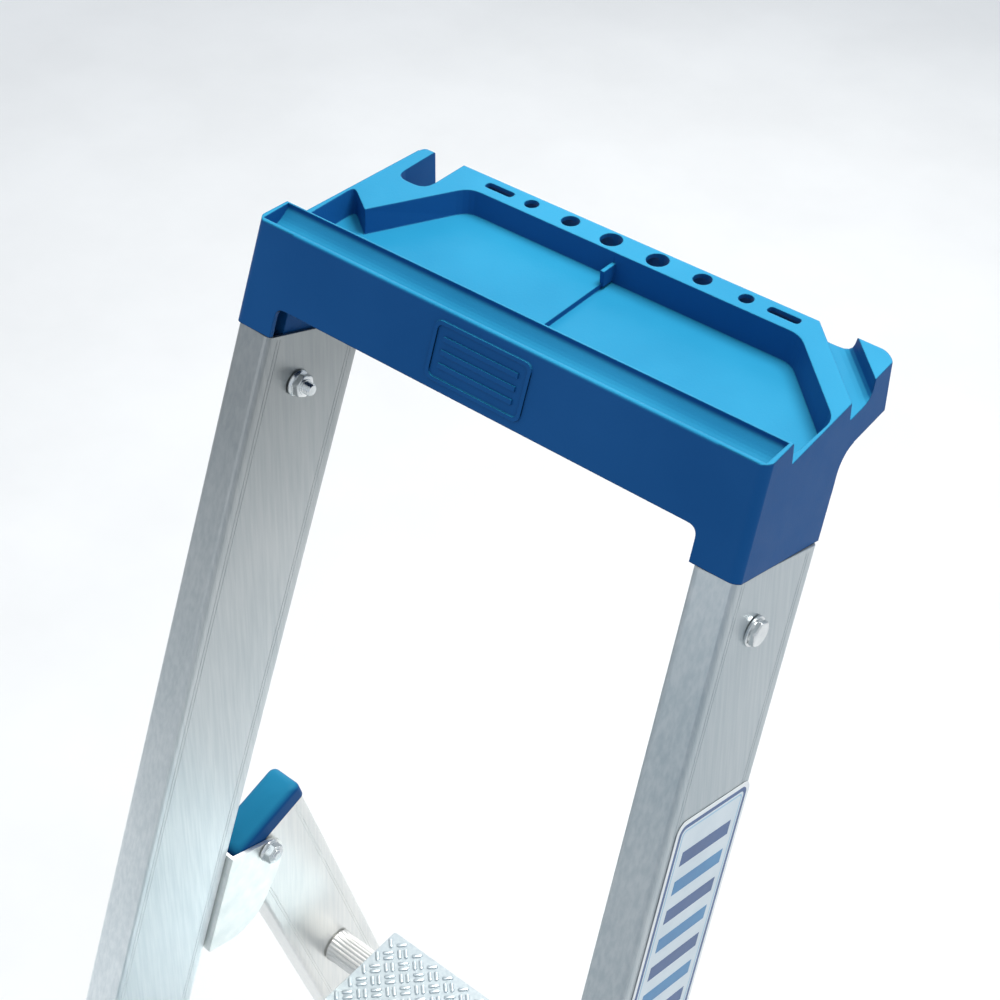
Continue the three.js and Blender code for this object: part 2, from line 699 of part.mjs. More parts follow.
function tubePoint(drop) {
  return new THREE.Vector3(0, TUBE_OFFSET, -drop).applyMatrix4(
    new THREE.Matrix4().makeTranslation(0, PIVOT_Y, PIVOT_Z)
      .multiply(new THREE.Matrix4().makeRotationX(REAR_LEAN)),
  );
}

const upperTube = tubePoint(TUBE_DROP);
const lowerTube = tubePoint((HEIGHT + PIVOT_Z - LOWER_TUBE_HEIGHT) / Math.cos(REAR_LEAN));

function rearInnerX(point) {
  const drop = Math.hypot(point.y - PIVOT_Y, point.z - PIVOT_Z);
  return stileX(1, PIVOT_S) + drop * Math.tan(SPLAY) - REAR_WIDTH / 2;
}

function buildRearStile(side) {
  const section = rearSection(0, 3.5);
  section.holes.push(rearSection(-STILE_WALL, 2));
  const top = CAP_SKIRT_LOW + CAP_HEIGHT - CAP_DOME - 7;
  let stile = place(prismZ(section, rearLow - 80, top), rearFrame(side));
  stile = cutBeyond(stile, new THREE.Vector3(0, 0, -HEIGHT + 13), new THREE.Vector3(0, 0, -1));
  const cuts = [cylinderX(-400, 400, PIVOT_Y, PIVOT_Z, PIVOT_RADIUS + GAP)];
  [upperTube, lowerTube].forEach((tube) => {
    const middle = rearInnerX(tube) + REAR_WIDTH / 2;
    cuts.push(boreTo(side, middle, tube.y, tube.z));
  });
  return cuts.reduce((rest, cut) => rest.subtract(cut), stile);
}

// Cap with upright sides and a rounded, slightly domed top.
function buildCap(side) {
  const top = CAP_SKIRT_LOW + CAP_HEIGHT;
  const points = [];
  const ring = (inset, z) => rearSection(1.2 - inset, 4.5).getPoints()
    .forEach(({ x, y }) => points.push(new THREE.Vector3(x, y, z)));
  ring(0, CAP_SKIRT_LOW);
  for (let step = 0; step <= 4; step += 1) {
    const angle = (step / 4) * (Math.PI / 2);
    ring(CAP_ROUND * (1 - Math.cos(angle)), top - CAP_DOME - CAP_ROUND * (1 - Math.sin(angle)));
  }
  ring(REAR_WIDTH / 2 - 3, top);
  const outer = toSolid(new ConvexGeometry(points));
  const room = prismZ(rearSection(GAP, 3.8), CAP_SKIRT_LOW - 15, top - CAP_DOME - 6);
  return place(outer.subtract(room), rearFrame(side));
}

// Fluted tube between two stiles, with plain ends let into the stiles' inner walls.
function flutedTube(point, halfLength, endLength) {
  const shape = new THREE.Shape();
  const steps = TUBE_FLUTES * 3;
  for (let i = 0; i < steps; i += 1) {
    const angle = (i / steps) * 2 * Math.PI;
    const radius = TUBE_RADIUS - (i % 3 === 0 ? 1 : 0);
    const [x, y] = [Math.cos(angle) * radius, Math.sin(angle) * radius];
    if (i === 0) shape.moveTo(x, y);
    else shape.lineTo(x, y);
  }
  const body = prismX(shape, -halfLength, halfLength)
    .add(cylinderX(-halfLength - endLength, halfLength + endLength, 0, 0, TUBE_RADIUS - TUBE_END_STEP))
    .subtract(cylinderX(-halfLength - endLength - 1, halfLength + endLength + 1, 0, 0, TUBE_BORE));
  return body.translate([0, point.y, point.z]);
}

function buildBush(side, edge) {
  const thickness = BRACKET_ROOM - REAR_WIDTH / 2 - 0.9;
  const inner = REAR_WIDTH / 2 + 0.45;
  const x = Math.abs(stileX(1, PIVOT_S)) * side + edge * (inner + thickness / 2);
  const ring = cylinderX(x - thickness / 2, x + thickness / 2, PIVOT_Y, PIVOT_Z, BUSH_RADIUS);
  return ring.subtract(cylinderX(x - 10, x + 10, PIVOT_Y, PIVOT_Z, PIVOT_RADIUS + GAP));
}

// ---- feet ----
function buildShoe(frame, section, side) {
  const grown = place(prismZ(section(3, 6), -2000, 0), frame);
  let shoe = cutBeyond(grown, new THREE.Vector3(0, 0, -HEIGHT + 6), new THREE.Vector3(0, 0, -1));
  shoe = cutBeyond(shoe, new THREE.Vector3(0, 0, -HEIGHT + 62), new THREE.Vector3(0, 0, 1));
  let room = place(prismZ(section(GAP, side === 0 ? 3 : 4), -2000, 0), frame);
  room = cutBeyond(room, new THREE.Vector3(0, 0, -HEIGHT + 12.5), new THREE.Vector3(0, 0, -1));
  return shoe.subtract(room);
}

function buildSole(frame, section) {
  const grown = place(prismZ(section(4.5, 7), -2000, 0), frame);
  let sole = cutBeyond(grown, new THREE.Vector3(0, 0, -HEIGHT), new THREE.Vector3(0, 0, -1));
  sole = cutBeyond(sole, new THREE.Vector3(0, 0, -HEIGHT + 5.7), new THREE.Vector3(0, 0, 1));
  const { min, max } = sole.boundingBox();
  const pitch = 11;
  for (let y = min[1] + 8; y < max[1] - 8; y += pitch) {
    sole = sole.subtract(box(min[0] - 1, max[0] + 1, y, y + 3, -HEIGHT - 1, -HEIGHT + 2));
  }
  return sole;
}

// ---- treads ----
function buildTread(top) {
  const y0 = stileFrontY(top) + 3;
  const y1 = y0 + TREAD_DEPTH;
  const low = top - TREAD_THICKNESS;
  const section = new THREE.Shape();
  const ribs = 14;
  const ribPitch = (TREAD_DEPTH - 8) / ribs;
  section.moveTo(y0 + 3, low);
  section.lineTo(y1 - 3, low);
  section.lineTo(y1, low + 3);
  section.lineTo(y1, top - 4);
  section.lineTo(y1 - 4, top - 1.4);
  for (let i = 0; i < ribs; i += 1) {
    const y = y1 - 4 - i * ribPitch;
    section.lineTo(y - 0.8, top);
    section.lineTo(y - ribPitch * 0.55, top);
    section.lineTo(y - ribPitch * 0.55 - 0.8, top - 1.4);
    section.lineTo(y - ribPitch + 0.01, top - 1.4);
  }
  section.lineTo(y0, top - 5);
  section.lineTo(y0, low + 3);
  const wall = 1.8;
  const cells = [[y0 + wall, y0 + 16], [y0 + 28, y0 + 50], [y0 + 62, y1 - wall]];
  cells.forEach(([a, b]) => {
    section.holes.push(rounded(rectangle(a, low + wall, b, top - wall - 1.4).reverse(), 1.2));
  });
  let tread = prismX(section, -400, 400);
  treadPorts(top).forEach((port) => {
    tread = tread.subtract(cylinderX(-401, 401, port.y, port.z, 3.3, 14));
  });
  return [-1, 1].reduce((rest, side) => {
    const { point, normal } = innerFacePlane(side, GAP);
    return cutBeyond(rest, point, normal);
  }, tread);
}

// ---- platform ----
const plateLow = upperTube.z + TUBE_RADIUS + GAP;
const plateTop = plateLow + PLATE_THICKNESS;

function buildPlate() {
  const half = PLATE_WIDTH / 2;
  const side = rounded(rectangle(-half, PLATE_FRONT, half, PLATE_REAR), 2.5, 3);
  let plate = prismZ(side, plateLow, plateTop);
  const flangeLow = plateLow - 16;
  const lip = PLATE_THICKNESS;
  plate = union([
    plate,
    box(-half + 8, half - 8, PLATE_FRONT, PLATE_FRONT + lip, flangeLow, plateTop - 1),
    box(-half + 8, half - 8, PLATE_REAR - lip, PLATE_REAR, flangeLow, plateTop - 1),
    box(-half, -half + lip, PLATE_FRONT + 8, -126, flangeLow + 2, plateTop - 1),
    box(half - lip, half, PLATE_FRONT + 8, -126, flangeLow + 2, plateTop - 1),
  ]);
  plate = plate.subtract(cylinderX(-half - 1, half + 1, PIVOT_TUBE_Y, pivotTubeZ, TUBE_RADIUS + GAP));
  return clipRivets().reduce((rest, { x, y }) => rest.subtract(rivetSeat(x, y)), plate);
}

function clipRivets() {
  return [-1, 1].flatMap((side) => [
    { x: side * CLIP_X, y: PIVOT_TUBE_Y + CLIP_RIVET, suffix: side < 0 ? "left" : "right" },
  ]);
}

// Sheet strap: rings the front tube and lies under the plate behind it.
function buildClip(side) {
  const inner = TUBE_RADIUS + GAP;
  const outer = inner + 2.2;
  const x0 = side * CLIP_X - CLIP_WIDTH / 2;
  const x1 = side * CLIP_X + CLIP_WIDTH / 2;
  const ring = cylinderX(x0, x1, PIVOT_TUBE_Y, pivotTubeZ, outer, 40);
  const tab = box(x0, x1, PIVOT_TUBE_Y, PIVOT_TUBE_Y + 42, plateLow - GAP - 2.2, plateLow - GAP);
  const bore = cylinderX(x0 - 1, x1 + 1, PIVOT_TUBE_Y, pivotTubeZ, inner, 40);
  const above = box(x0 - 1, x1 + 1, PIVOT_TUBE_Y - 40, PIVOT_TUBE_Y + 60, plateLow - GAP, plateLow + 40);
  const clip = ring.add(tab).subtract(bore).subtract(above);
  const hole = cylinderZ(side * CLIP_X, PIVOT_TUBE_Y + CLIP_RIVET, plateLow - 10, plateLow + 5, 2.5 + GAP, 16);
  return clip.subtract(hole);
}

// Blind rivet through the plate and the clip, its head sunk flush with the plate's top.
function buildRivetZ(x, y) {
  const profile = [
    [0, plateLow - 6.4],
    [3.6, plateLow - 6.2],
    [4.4, plateLow - 5],
    [4.4, plateLow - 3.1],
    [2.5, plateLow - 3.1],
    [2.5, plateTop - RIVET_SINK],
    [4.6, plateTop - 0.05],
    [0, plateTop - 0.05],
  ];
  return latheZ(profile, x, y, 14);
}

function rivetSeat(x, y) {
  const profile = [
    [0, plateLow - 5],
    [2.5 + GAP * 1.6, plateLow - 5],
    [2.5 + GAP * 1.6, plateTop - RIVET_SINK],
    [4.6 + GAP * 1.6, plateTop + 0.05],
    [4.6 + GAP * 1.6, plateTop + 5],
    [0, plateTop + 5],
  ];
  return latheZ(profile, x, y, 16);
}

// ---- label ----
function buildLabel() {
  const outline = rounded(rectangle(11.5, -424, 86.5, -205), 5);
  const sheet = prismX(outline, STILE_WIDTH / 2 + GAP, STILE_WIDTH / 2 + GAP + 0.4);
  return place(sheet, stileFrame(1));
}

// ---- assembly ----
addNode("tool_tray", buildTray(), "tray");
[[-1, "left"], [1, "right"]].forEach(([side, suffix]) => {
  addNode(`front_stile_${suffix}`, buildStile(side), "aluminium");
  addNode(`front_shoe_${suffix}`, buildShoe(stileFrame(side), stileSection, 1), "plastic");
  addNode(`front_sole_${suffix}`, buildSole(stileFrame(side), stileSection), "rubber");
  addNode(`pivot_bracket_${suffix}`, buildBracket(side), "steel");
  addNode(`rear_stile_${suffix}`, buildRearStile(side), "aluminium");
  addNode(`rear_cap_${suffix}`, buildCap(side), "tray");
  addNode(`rear_shoe_${suffix}`, buildShoe(rearFrame(side), rearSection, 0), "plastic");
  addNode(`rear_sole_${suffix}`, buildSole(rearFrame(side), rearSection), "rubber");
  addNode(`pivot_bush_${suffix}_outer`, buildBush(side, side), "plastic");
  addNode(`pivot_bush_${suffix}_inner`, buildBush(side, -side), "plastic");
  buildFasteners(side, suffix);
  addNode(`platform_clip_${suffix}`, buildClip(side), "steel");
});
addNode("stile_label", buildLabel(), "label");
addNode("tread_lower", buildTread(treadTops[0]), "aluminium");
addNode("tread_upper", buildTread(treadTops[1]), "aluminium");
addNode("rear_cross_tube_upper", flutedTube(upperTube, rearInnerX(upperTube) - 1.2, TUBE_END), "aluminium");
addNode("rear_cross_tube_lower", flutedTube(lowerTube, rearInnerX(lowerTube) - 1.2, TUBE_END), "aluminium");

const pivotTube = new THREE.Vector3(0, PIVOT_TUBE_Y, pivotTubeZ);
const pivotTubeS = -(pivotTube.z * Math.cos(FRONT_LEAN)) - pivotTube.y * Math.sin(FRONT_LEAN);
const pivotTubeHalf = stileX(1, pivotTubeS) - STILE_WIDTH / 2 - 1.2;
addNode("platform_pivot_tube", flutedTube(pivotTube, pivotTubeHalf, TUBE_END), "aluminium");
addNode("platform_plate", buildPlate(), "aluminium");
clipRivets().forEach(({ x, y, suffix }) => {
  addNode(`platform_rivet_${suffix}`, buildRivetZ(x, y), "zinc");
});

// stand the ladder on the floor and centre it front to back
group.updateMatrixWorld(true);
const bounds = new THREE.Box3().setFromObject(group);
group.children.forEach((node) => {
  node.geometry.translate(0, -(bounds.min.y + bounds.max.y) / 2, -bounds.min.z);
});

export default group;
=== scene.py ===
import json
import math

import bmesh
import bpy
from mathutils import Matrix, Vector


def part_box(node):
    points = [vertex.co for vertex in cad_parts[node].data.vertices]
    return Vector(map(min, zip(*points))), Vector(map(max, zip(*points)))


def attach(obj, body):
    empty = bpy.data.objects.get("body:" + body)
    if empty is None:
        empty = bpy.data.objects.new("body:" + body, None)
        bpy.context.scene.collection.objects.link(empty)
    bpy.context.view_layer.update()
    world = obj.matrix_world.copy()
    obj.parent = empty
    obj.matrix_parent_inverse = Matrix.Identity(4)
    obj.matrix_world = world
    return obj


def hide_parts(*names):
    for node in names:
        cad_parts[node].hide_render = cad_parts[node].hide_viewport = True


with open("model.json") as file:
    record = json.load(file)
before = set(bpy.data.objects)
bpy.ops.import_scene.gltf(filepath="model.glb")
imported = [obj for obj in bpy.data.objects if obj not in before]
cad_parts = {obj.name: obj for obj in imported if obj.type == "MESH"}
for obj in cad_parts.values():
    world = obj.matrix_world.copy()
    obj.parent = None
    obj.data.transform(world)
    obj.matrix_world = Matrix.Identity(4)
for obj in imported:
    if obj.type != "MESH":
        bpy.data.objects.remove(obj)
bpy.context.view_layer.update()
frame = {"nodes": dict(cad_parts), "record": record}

MM = 0.001

# ---- sizes shared with the CAD part (metres, radians) ----
HEIGHT = 1.378
SHIFT_Y = 0.1042                        # from the tray's front edge to the ladder's middle
LEAN = math.radians(19.6)               # front frame from the vertical
REAR_LEAN = math.radians(17.4)          # rear frame from the vertical, the other way
SPLAY = math.radians(2.42)              # each stile's sideways slope
TRAY_HALF = 0.1678                      # half the tray's width
INSET = 0.00176                         # stile face behind the tray's end face
STILE_W = 0.025
REAR_HALF_W = 12.0                      # millimetres, half a rear stile's width
PIVOT = Vector((0, -0.0436, -0.4933))   # hinge of the rear frame, from the tray's front edge

ORIGIN = Matrix.Translation((0, SHIFT_Y, HEIGHT))
FRONT = ORIGIN @ Matrix.Rotation(-LEAN, 4, "X")


def stile_frame(side):
    """Front stile's own frame: side is -1 for the left one and 1 for the right one."""
    return (FRONT @ Matrix.Translation((side * (TRAY_HALF - INSET - STILE_W / 2), 0, 0))
            @ Matrix.Rotation(-side * SPLAY, 4, "Y"))


def rear_frame(side):
    """Rear stile's own frame, with its origin on the hinge."""
    down_stile = -PIVOT.y * math.sin(LEAN) - PIVOT.z * math.cos(LEAN)
    x = side * (TRAY_HALF - INSET - STILE_W / 2 + down_stile * math.tan(SPLAY))
    return (ORIGIN @ Matrix.Translation((x, PIVOT.y, PIVOT.z))
            @ Matrix.Rotation(REAR_LEAN, 4, "X") @ Matrix.Rotation(-side * SPLAY, 4, "Y"))


# ---- materials ----
def new_material(name):
    mat = bpy.data.materials.new(name)
    mat.use_nodes = True
    tree = mat.node_tree
    return mat, tree, tree.nodes["Principled BSDF"]


def noise(tree, scale, stretch=(1, 1, 1), detail=4.0, rough=0.55):
    """Noise in the object's own coordinates; a small stretch value draws it out along that axis."""
    coords = tree.nodes.new("ShaderNodeTexCoord")
    mapping = tree.nodes.new("ShaderNodeMapping")
    mapping.inputs["Scale"].default_value = stretch
    tree.links.new(coords.outputs["Object"], mapping.inputs["Vector"])
    tex = tree.nodes.new("ShaderNodeTexNoise")
    tex.inputs["Scale"].default_value = scale
    tex.inputs["Detail"].default_value = detail
    tex.inputs["Roughness"].default_value = rough
    tree.links.new(mapping.outputs["Vector"], tex.inputs["Vector"])
    return tex.outputs["Fac"]


def ramp(tree, source, low, high, start=0.35, end=0.65):
    """Colour that runs from low to high while the source runs from start to end."""
    made = tree.nodes.new("ShaderNodeValToRGB")
    made.color_ramp.elements[0].position = start
    made.color_ramp.elements[1].position = end
    made.color_ramp.elements[0].color = (*low, 1)
    made.color_ramp.elements[1].color = (*high, 1)
    tree.links.new(source, made.inputs["Fac"])
    return made.outputs["Color"]


def spread(tree, source, low, high):
    """Number between low and high that follows the source."""
    made = tree.nodes.new("ShaderNodeMapRange")
    made.inputs["To Min"].default_value = low
    made.inputs["To Max"].default_value = high
    tree.links.new(source, made.inputs["Value"])
    return made.outputs["Result"]


def soft_edges(tree, radius):
    """Shading normal that rounds every edge."""
    edges = tree.nodes.new("ShaderNodeBevel")
    edges.samples = 4
    edges.inputs["Radius"].default_value = radius
    return edges.outputs["Normal"]


def bump(tree, shader, source, distance, strength, normal=None):
    made = tree.nodes.new("ShaderNodeBump")
    made.inputs["Strength"].default_value = strength
    made.inputs["Distance"].default_value = distance
    tree.links.new(source, made.inputs["Height"])
    if normal:
        tree.links.new(normal, made.inputs["Normal"])
    tree.links.new(made.outputs["Normal"], shader.inputs["Normal"])


def upward(tree, normal, start, end):
    """0 where a normal's upward part is below start, 1 where it is above end."""
    split = tree.nodes.new("ShaderNodeSeparateXYZ")
    tree.links.new(normal, split.inputs["Vector"])
    level = tree.nodes.new("ShaderNodeMapRange")
    level.inputs["From Min"].default_value = start
    level.inputs["From Max"].default_value = end
    tree.links.new(split.outputs["Z"], level.inputs["Value"])
    return level.outputs["Result"]


def blend_colours(tree, factor, first, second):
    mix = tree.nodes.new("ShaderNodeMix")
    mix.data_type = "RGBA"
    tree.links.new(factor, mix.inputs["Factor"])
    tree.links.new(first, mix.inputs["A"])
    tree.links.new(second, mix.inputs["B"])
    return mix.outputs["Result"]


def moulded_blue(name, edge_radius):
    """Matt plastic with painted light: a paler painted top light on faces turned up, a deeper blue
    painted shade on standing faces, and a nearly black painted shade beneath.
    """
    mat, tree, shader = new_material(name)
    normal = soft_edges(tree, edge_radius)
    patches = noise(tree, 9.0, detail=3.0)
    # Painted light: these colours are lit and shaded copies of one blue, chosen by which way a face
    # points; the noise gives real random tone.
    side_painted_shade = ramp(tree, patches, (0.005, 0.073, 0.238), (0.008, 0.084, 0.262))
    top_painted_light = ramp(tree, patches, (0.016, 0.222, 0.400), (0.022, 0.258, 0.448))
    beneath_painted_shade = ramp(tree, patches, (0.001, 0.010, 0.030), (0.001, 0.012, 0.036))
    # The rounded-edge normal drives the painted top light, so edges turning up get painted highlight
    # lines.
    painted_top_and_side = blend_colours(tree, upward(tree, normal, start=0.36, end=0.92), side_painted_shade, top_painted_light)
    # Faces turned down get the nearly black painted shade.
    colour = blend_colours(tree, upward(tree, normal, start=-0.6, end=-0.2), beneath_painted_shade, painted_top_and_side)
    tree.links.new(colour, shader.inputs["Base Color"])
    shader.inputs["Specular IOR Level"].default_value = 0.07
    tree.links.new(spread(tree, noise(tree, 60.0), 0.36, 0.50), shader.inputs["Roughness"])
    bump(tree, shader, noise(tree, 900.0, detail=2.0), distance=0.00012, strength=0.5, normal=normal)
    return mat


def drawn_aluminium(name, stretch, low=(0.37, 0.43, 0.46), high=(0.52, 0.56, 0.575),
                    rough=(0.24, 0.40), painted_shading=None):
    """Aluminium with drawing lines along the axis where stretch is small."""
    mat, tree, shader = new_material(name)
    lines = noise(tree, 420.0, stretch, detail=3.0)
    cloud = noise(tree, 10.0, (1, 1, 0.5), detail=3.0)
    mix = tree.nodes.new("ShaderNodeMix")
    mix.data_type = "RGBA"
    mix.inputs["Factor"].default_value = 0.5
    tree.links.new(ramp(tree, lines, low, high), mix.inputs["A"])
    tree.links.new(ramp(tree, cloud, low, high), mix.inputs["B"])
    colour = mix.outputs["Result"]
    # Optional painted shade towards the top and painted reflection towards the bottom, scaled by height.
    if painted_shading:
        colour = paint_shade_and_reflection(tree, colour, *painted_shading)
    tree.links.new(colour, shader.inputs["Base Color"])
    shader.inputs["Metallic"].default_value = 0.85
    tree.links.new(spread(tree, lines, *rough), shader.inputs["Roughness"])
    bump(tree, shader, lines, distance=0.00004, strength=0.35, normal=soft_edges(tree, 0.0007))
    return mat


def paint_shade_and_reflection(tree, colour, top, bottom, dark, light):
    """Painted shade and light: scales a colour from dark at the top height, a painted shade below the
    tray, to light at the bottom height, a painted reflection.
    """
    coords = tree.nodes.new("ShaderNodeTexCoord")
    split = tree.nodes.new("ShaderNodeSeparateXYZ")
    tree.links.new(coords.outputs["Object"], split.inputs["Vector"])
    level = tree.nodes.new("ShaderNodeMapRange")
    level.inputs["From Min"].default_value = bottom
    level.inputs["From Max"].default_value = top
    level.inputs["To Min"].default_value = light
    level.inputs["To Max"].default_value = dark
    tree.links.new(split.outputs["Z"], level.inputs["Value"])
    scale = tree.nodes.new("ShaderNodeVectorMath")
    scale.operation = "SCALE"
    tree.links.new(colour, scale.inputs["Vector"])
    tree.links.new(level.outputs["Result"], scale.inputs["Scale"])
    return scale.outputs["Vector"]


def plated(name, low, high, rough):
    """Zinc-plated steel with a cloudy gloss."""
    mat, tree, shader = new_material(name)
    patches = noise(tree, 90.0, detail=4.0)
    tree.links.new(ramp(tree, patches, low, high), shader.inputs["Base Color"])
    shader.inputs["Metallic"].default_value = 1.0
    tree.links.new(spread(tree, patches, rough - 0.06, rough + 0.06), shader.inputs["Roughness"])
    bump(tree, shader, noise(tree, 500.0), distance=0.00003, strength=0.4,
         normal=soft_edges(tree, 0.0004))
    return mat


def soft_dark(name, low, high, rough):
    """Dark plastic or rubber with a fine grain."""
    mat, tree, shader = new_material(name)
    patches = noise(tree, 25.0, detail=4.0)
    tree.links.new(ramp(tree, patches, low, high), shader.inputs["Base Color"])
    tree.links.new(spread(tree, patches, rough - 0.08, rough + 0.08), shader.inputs["Roughness"])
    bump(tree, shader, noise(tree, 700.0), distance=0.0001, strength=0.5,
         normal=soft_edges(tree, 0.0009))
    return mat


def film(name, low, high):
    """Printed plastic film."""
    mat, tree, shader = new_material(name)
    tree.links.new(ramp(tree, noise(tree, 40.0), low, high), shader.inputs["Base Color"])
    tree.links.new(spread(tree, noise(tree, 120.0), 0.28, 0.38), shader.inputs["Roughness"])
    return mat


DRAWN_UP = (1, 1, 0.02)
DRAWN_ACROSS = (0.02, 1, 1)
NOT_DRAWN = (1, 1, 1)

# Both blue plastics carry the painted top light, painted side shade and painted shade beneath from
# moulded_blue.
BLUE = moulded_blue("blue_plastic", 0.0011)
BLUE_FINE = moulded_blue("blue_plastic_fine", 0.0003)
ALU_Z = drawn_aluminium("aluminium", DRAWN_UP)
ALU_X = drawn_aluminium("aluminium_across", DRAWN_ACROSS)
ALU_PLATE = drawn_aluminium("aluminium_plate", NOT_DRAWN, (0.52, 0.60, 0.64), (0.66, 0.72, 0.74),
                            rough=(0.30, 0.42))
# Left front stile: painted shade near the top and a painted reflection lower down, by height.
ALU_LEFT = drawn_aluminium("aluminium_painted_shade_and_light", DRAWN_UP, (0.40, 0.440, 0.452), (0.53, 0.555, 0.557),
                           painted_shading=(1.28, 0.88, 0.66, 1.75))
ALU_BRIGHT = drawn_aluminium("aluminium_bright", DRAWN_UP, (0.72, 0.74, 0.73), (0.88, 0.88, 0.85))
ALU_TUBE = drawn_aluminium("aluminium_tube", DRAWN_ACROSS, (0.70, 0.70, 0.69), (0.84, 0.83, 0.81),
                           rough=(0.42, 0.52))
SHEET = plated("bracket_steel", (0.84, 0.86, 0.84), (0.95, 0.95, 0.92), 0.36)
ZINC = plated("zinc", (0.62, 0.65, 0.66), (0.80, 0.82, 0.82), 0.24)
DARK = soft_dark("dark_plastic", (0.020, 0.022, 0.025), (0.032, 0.034, 0.037), 0.50)
RUBBER = soft_dark("sole_rubber", (0.012, 0.012, 0.013), (0.022, 0.022, 0.023), 0.78)
LABEL_WHITE = film("label", (0.84, 0.87, 0.88), (0.90, 0.92, 0.92))
PRINT_DARK = film("print_dark", (0.012, 0.075, 0.235), (0.018, 0.095, 0.280))
PRINT_MID = film("print_mid", (0.020, 0.200, 0.440), (0.030, 0.240, 0.490))
PRINT_PALE = film("print_pale", (0.330, 0.560, 0.720), (0.380, 0.600, 0.750))
PRINT_FIELD = film("print_field", (0.640, 0.730, 0.780), (0.700, 0.780, 0.820))

SLOT_LOOKS = {
    "blue_plastic": BLUE,
    "aluminium": ALU_Z,
    "bracket_steel": SHEET,
    "zinc": ZINC,
    "dark_plastic": DARK,
    "sole_rubber": RUBBER,
    "label": LABEL_WHITE,
}
NODE_LOOKS = {
    "front_stile_left": ALU_LEFT,
    "rear_stile_left": ALU_BRIGHT,
    "rear_stile_right": ALU_BRIGHT,
    "platform_plate": ALU_PLATE,
    "tread_lower": ALU_X,
    "tread_upper": ALU_X,
    "rear_cross_tube_upper": ALU_X,
    "rear_cross_tube_lower": ALU_X,
    "platform_pivot_tube": ALU_X,
}
node_slots = {item["node"]: item["material_slot"] for item in frame["record"]["subparts"]}
for name, obj in frame["nodes"].items():
    obj.data.materials.clear()
    obj.data.materials.append(NODE_LOOKS.get(name, SLOT_LOOKS[node_slots[name]]))

# ---- mesh helpers: outlines in millimetres, placed by a matrix in metres ----
def axes(a, b, h):
    """Turns outline coordinates (a, b) and height h into a frame's own directions."""
    return Matrix((a, b, h)).transposed().to_4x4()


def rounded_rect(a0, b0, a1, b1, radius, steps=6):
    """Rectangle between two corners, with steps + 1 points round each corner."""
    corners = [(a1, b1, 0), (a0, b1, 90), (a0, b0, 180), (a1, b0, 270)]
    points = []
    for a, b, start in corners:
        ca = a - math.copysign(radius, a - (a0 + a1) / 2)
        cb = b - math.copysign(radius, b - (b0 + b1) / 2)
        for k in range(steps + 1):
            angle = math.radians(start + 90 * k / steps)
            points.append((ca + radius * math.cos(angle), cb + radius * math.sin(angle)))
    return points


def ring_of(bm, outline, height, place):
    """Vertices of an outline at a height."""
    return [bm.verts.new(place @ Vector((a * MM, b * MM, height * MM))) for a, b in outline]


def bridge(bm, first, second):
    """Faces between two rings with the same number of vertices."""
    for i in range(len(first)):
        j = (i + 1) % len(first)
        bm.faces.new((first[i], first[j], second[j], second[i]))


def add_prism(bm, outline, low, high, place):
    """Closed body of one outline between two heights."""
    bottom, top = (ring_of(bm, outline, height, place) for height in (low, high))
    bm.faces.new(bottom[::-1])
    bm.faces.new(top)
    bridge(bm, bottom, top)


def add_frame(bm, outer, inner, low, high, place):
    """Closed strip between two outlines with the same number of points."""
    rings = [ring_of(bm, line, height, place)
             for line, height in ((outer, low), (outer, high), (inner, high), (inner, low))]
    for first, second in zip(rings, rings[1:] + rings[:1]):
        bridge(bm, first, second)


def add_rings(bm, outlines, place):
    """Body through a stack of (outline, height) rings, capped at both ends."""
    rings = [ring_of(bm, outline, height, place) for outline, height in outlines]
    bm.faces.new(rings[0][::-1])
    bm.faces.new(rings[-1])
    for first, second in zip(rings, rings[1:]):
        bridge(bm, first, second)


def circle(radius, steps=32):
    return [(radius * math.cos(2 * math.pi * k / steps),
             radius * math.sin(2 * math.pi * k / steps)) for k in range(steps)]


def rectangle(a0, b0, a1, b1):
    return [(a0, b0), (a1, b0), (a1, b1), (a0, b1)]


def finish_piece(name, bm, look, body, replaces=(), smooth=0.0):
    """Makes the object, smooth below the given edge angle in degrees, and ties it to its body."""
    bmesh.ops.recalc_face_normals(bm, faces=bm.faces)
    mesh = bpy.data.meshes.new(name)
    bm.to_mesh(mesh)
    bm.free()
    mesh.materials.append(look)
    if smooth > 0:
        mesh.shade_smooth()
        mesh.set_sharp_from_angle(angle=math.radians(smooth))
    piece = bpy.data.objects.new(name, mesh)
    bpy.context.scene.collection.objects.link(piece)
    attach(piece, body)
    if replaces:
        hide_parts(*replaces)


# ---- label on the right stile: white border, blue outline, pale field, plain stripes ----
LABEL_LEFT, LABEL_RIGHT, LABEL_TOP, LABEL_BOTTOM = 11.5, 86.5, 205, 424
LABEL_GAP = 0.3
SHEET_TOP = 0.25
PRINT_BED = 0.1           # where the print starts, inside the sheet
FIELD_TOP, OUTLINE_TOP, LINE_TOP, BARS_TOP = 0.28, 0.30, 0.32, 0.34
BAR_COUNT, BAR_START, BAR_PITCH = 10, 226.75, 18.5
BAR_LEFT, BAR_RIGHT, BAR_DEPTH = 24, 74, 9


def label_outline(gap, radius):
    return rounded_rect(LABEL_LEFT + gap, LABEL_TOP + gap, LABEL_RIGHT - gap, LABEL_BOTTOM - gap, radius)


